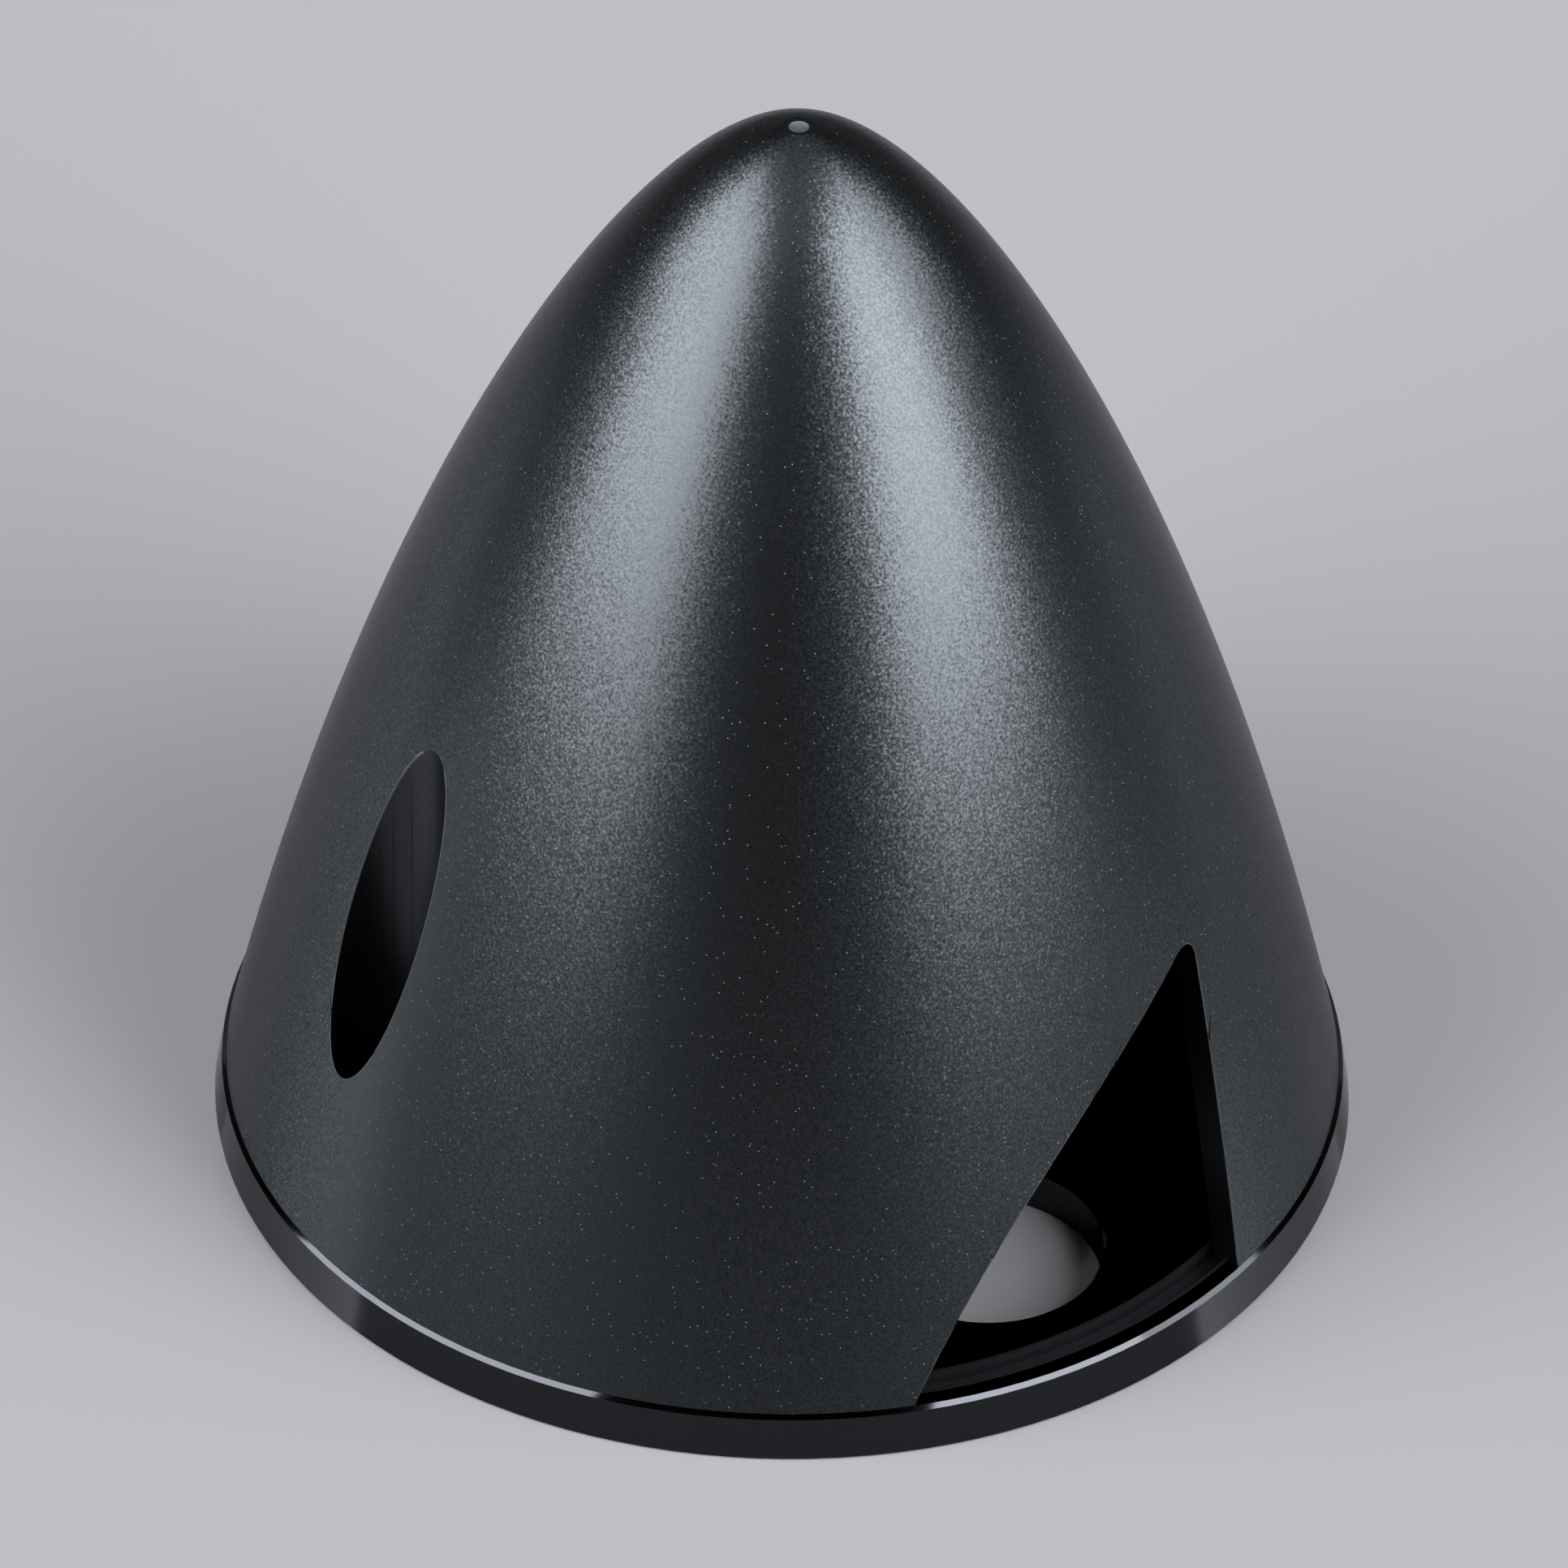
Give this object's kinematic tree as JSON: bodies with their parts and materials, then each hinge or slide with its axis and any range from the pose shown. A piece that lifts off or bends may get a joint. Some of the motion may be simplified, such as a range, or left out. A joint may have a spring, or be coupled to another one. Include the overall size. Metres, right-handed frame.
{
  "type": "propeller spinner",
  "caption": "Hollow pointed aluminium nose cone with slots for the propeller blades, screwed down onto a round back plate with a shaft bore.",
  "frame": {"origin": "on the shaft axis, in the rear face of the back plate", "axes": "+Z along the shaft towards the nose; the blades leave along +X and -X; the screws stand at -Y and +Y"},
  "size_m": [0.057, 0.057, 0.0567],
  "materials": {
    "cone": "bead-blasted and black anodised",
    "back_plate": "fine turned and black anodised, glossy",
    "screw": "black oxide"
  },
  "bodies": {
    "root": {"cone": "cone", "back_plate": "back_plate", "cap_screw_a": "screw", "cap_screw_b": "screw"}
  },
  "joints": []
}
